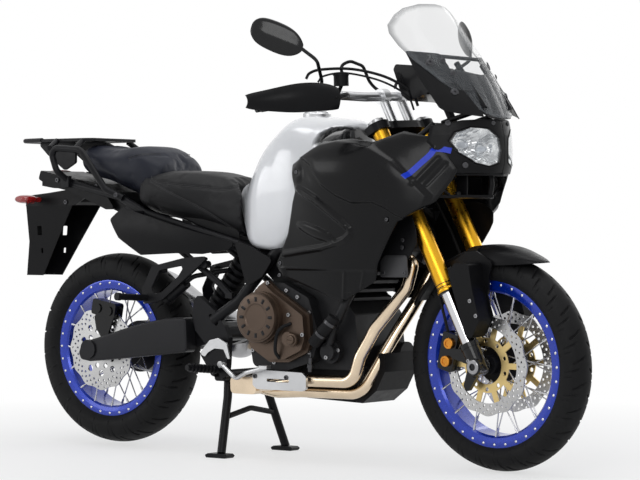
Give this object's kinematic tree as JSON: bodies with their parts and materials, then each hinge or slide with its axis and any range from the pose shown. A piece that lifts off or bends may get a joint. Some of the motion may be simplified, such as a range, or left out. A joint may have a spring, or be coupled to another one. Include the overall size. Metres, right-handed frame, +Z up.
{
  "type": "adventure motorcycle",
  "caption": "Shaft-driven adventure touring motorcycle with tall screen, twin headlights, hand guards, wire-spoked wheels, luggage rack, and working steering, wheels and stands",
  "frame": {"origin": "centre of the bounding box on the floor", "axes": "+X forward, +Y to the rider's left, +Z up"},
  "size_m": [2.2618, 1.0185, 1.432],
  "materials": {
    "alu_guard": "bead-blasted aluminium",
    "arm_grey": "satin dark grey",
    "bar_grey": "tapered alloy bar",
    "bronze": "bronze metallic casting paint",
    "caliper_black": "gloss black",
    "carrier_gold": "gold anodised",
    "clear_black": "reservoir",
    "core": "black radiator core",
    "dash_black": "instrument case",
    "disc_steel": "ground stainless",
    "drive_grey": "satin dark grey",
    "engine_black": "satin black casting paint",
    "fairing_black": "satin black panel",
    "fork_chrome": "hard chrome",
    "fork_gold": "gold anodised",
    "frame_black": "satin black powder coat",
    "grip_rubber": "grip rubber",
    "heel_alu": "brushed aluminium",
    "hose_rubber": "hose",
    "hub_black": "black hub and spokes",
    "lamp_red": "red lens and dark cases",
    "lens": "clear polycarbonate",
    "mirror_black": "mirror shell",
    "muffler_steel": "brushed stainless",
    "pipe": "heat-tinted stainless",
    "plastic_dark": "moulded satin",
    "rack_black": "satin black",
    "reflector": "vacuum-metallised",
    "rest_black": "satin black",
    "rim_blue": "anodised blue",
    "screen_clear": "clear polycarbonate",
    "seat_black": "grained vinyl",
    "seat_blue": "grained vinyl",
    "shock_black": "satin black",
    "stand_black": "satin black",
    "tank_white": "gloss pearl white",
    "tyre": "road rubber",
    "yoke_black": "satin black forging"
  },
  "bodies": {
    "chassis": {"beak": "plastic_dark", "engine": "engine_black", "engine_covers": "bronze", "exhaust_guard": "alu_guard", "exhaust_pipes": "pipe", "fairing_left": "fairing_black", "fairing_right": "fairing_black", "frame": "frame_black", "fuel_tank": "tank_white", "headlights": "lens", "heel_guards": "heel_alu", "instrument": "dash_black", "lamp_bowls": "reflector", "muffler": "muffler_steel", "nose_cowl": "fairing_black", "nose_stay": "frame_black", "passenger_footrests": "rest_black", "passenger_seat": "seat_blue", "pedals": "heel_alu", "rack": "rack_black", "radiator": "core", "rear_brake_caliper": "caliper_black", "rear_shock": "shock_black", "rider_footrests": "rest_black", "rider_seat": "seat_black", "screen_mount": "plastic_dark", "shaft_drive": "drive_grey", "side_covers": "plastic_dark", "skid_plate": "frame_black", "subframe": "frame_black", "swingarm": "arm_grey", "tail_lamps": "lamp_red", "tail_unit": "plastic_dark", "windscreen": "screen_clear"},
    "steering": {"fork_bottoms": "caliper_black", "fork_caps": "heel_alu", "fork_inners": "fork_chrome", "fork_outers": "fork_gold", "front_calipers": "caliper_black", "front_fender": "plastic_dark", "grips_controls": "grip_rubber", "handguards": "plastic_dark", "handlebar": "bar_grey", "hoses": "hose_rubber", "mirrors": "mirror_black", "reservoir": "clear_black", "yokes": "yoke_black"},
    "front_wheel": {"front_carriers": "carrier_gold", "front_discs": "disc_steel", "front_hub": "hub_black", "front_rim": "rim_blue", "front_tyre": "tyre"},
    "rear_wheel": {"rear_disc": "disc_steel", "rear_hub": "hub_black", "rear_rim": "rim_blue", "rear_tyre": "tyre"},
    "centre_stand": {"centre_stand": "stand_black"},
    "side_stand": {"side_stand": "stand_black"}
  },
  "joints": [
    {"name": "steering", "type": "hinge", "parent": "chassis", "child": "steering", "pos_m": [0.76523, 0, 0.3122], "axis": [-0.454, 0, 0.891], "range_deg": [-29, 41]},
    {"name": "front_wheel_spin", "type": "hinge", "parent": "steering", "child": "front_wheel", "pos_m": [0.79802, -0.00387, 0.32891], "axis": [0.0931, 0.9945, 0.0475], "continuous": true},
    {"name": "rear_wheel_spin", "type": "hinge", "parent": "chassis", "child": "rear_wheel", "pos_m": [-0.7418, 0, 0.331], "axis": [0, 1, 0], "continuous": true},
    {"name": "centre_stand_swing", "type": "hinge", "parent": "chassis", "child": "centre_stand", "pos_m": [-0.19, 0, 0.262], "axis": [0, 1, 0], "range_deg": [0, 85]},
    {"name": "side_stand_swing", "type": "hinge", "parent": "chassis", "child": "side_stand", "pos_m": [0.02, 0.172, 0.235], "axis": [0, -1, 0], "range_deg": [0, 98]}
  ]
}
